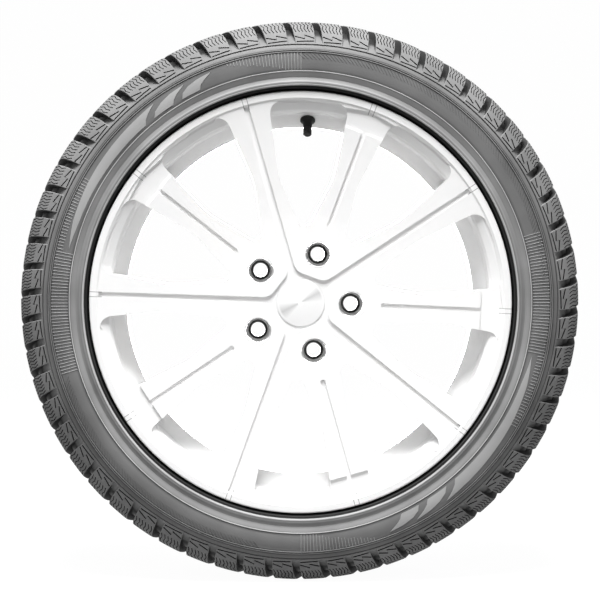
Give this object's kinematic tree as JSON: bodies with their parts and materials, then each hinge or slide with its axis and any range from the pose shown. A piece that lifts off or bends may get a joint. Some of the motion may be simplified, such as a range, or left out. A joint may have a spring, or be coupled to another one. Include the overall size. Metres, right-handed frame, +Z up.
{
  "type": "winter tyre on wheel",
  "caption": "Winter tyre with a blocked, sloped-groove tread, fitted on a cast spoked alloy wheel with a centre cap and a rubber snap-in valve.",
  "frame": {"origin": "wheel centre, halfway between the rim flanges on the spin axis", "axes": "spins about Y; the outer face with the spokes looks towards -Y, the hub pad towards +Y; +Z is up with the valve near the top; +X is to the right seen from the front"},
  "size_m": [0.6342, 0.225, 0.6342],
  "materials": {
    "tyre_rubber": "matt moulded black rubber",
    "white_alloy": "gloss white paint on cast aluminium",
    "cap_silver": "plastic with a spun silver face",
    "steel_wire": "drawn spring wire",
    "valve_rubber": "matt black rubber",
    "valve_brass": "turned brass",
    "valve_plastic": "moulded black plastic"
  },
  "bodies": {
    "wheel_and_tyre": {"tyre": "tyre_rubber", "wheel": "white_alloy", "centre_cap": "cap_silver", "cap_wire_ring": "steel_wire", "valve_stem": "valve_rubber", "valve_insert": "valve_brass", "core_body": "valve_brass"},
    "pin": {"core_pin": "valve_brass", "core_seal": "valve_rubber", "core_spring": "steel_wire"},
    "cap_washer": {"cap_seal": "valve_rubber"},
    "dust_cap": {"valve_cap": "valve_plastic"}
  },
  "joints": [
    {"name": "core_pin_press", "type": "slide", "parent": "wheel_and_tyre", "child": "pin", "axis": [0.0342, 0.576, 0.8168], "range_m": [0, 0.0012], "stiffness_N_per_m": 2000, "springref_m": -0.001},
    {"name": "cap_travel", "type": "slide", "parent": "wheel_and_tyre", "child": "cap_washer", "axis": [-0.0342, -0.576, -0.8168], "range_m": [0, 0.008]},
    {"name": "cap_turn", "type": "hinge", "parent": "cap_washer", "child": "dust_cap", "pos_m": [0.0086, -0.06305, 0.2053], "axis": [-0.0342, -0.576, -0.8168], "range_deg": [0, 3640]}
  ],
  "couplings": [
    {"joint": "cap_turn", "follows": "cap_travel", "rad_per_m": 7913.3}
  ]
}
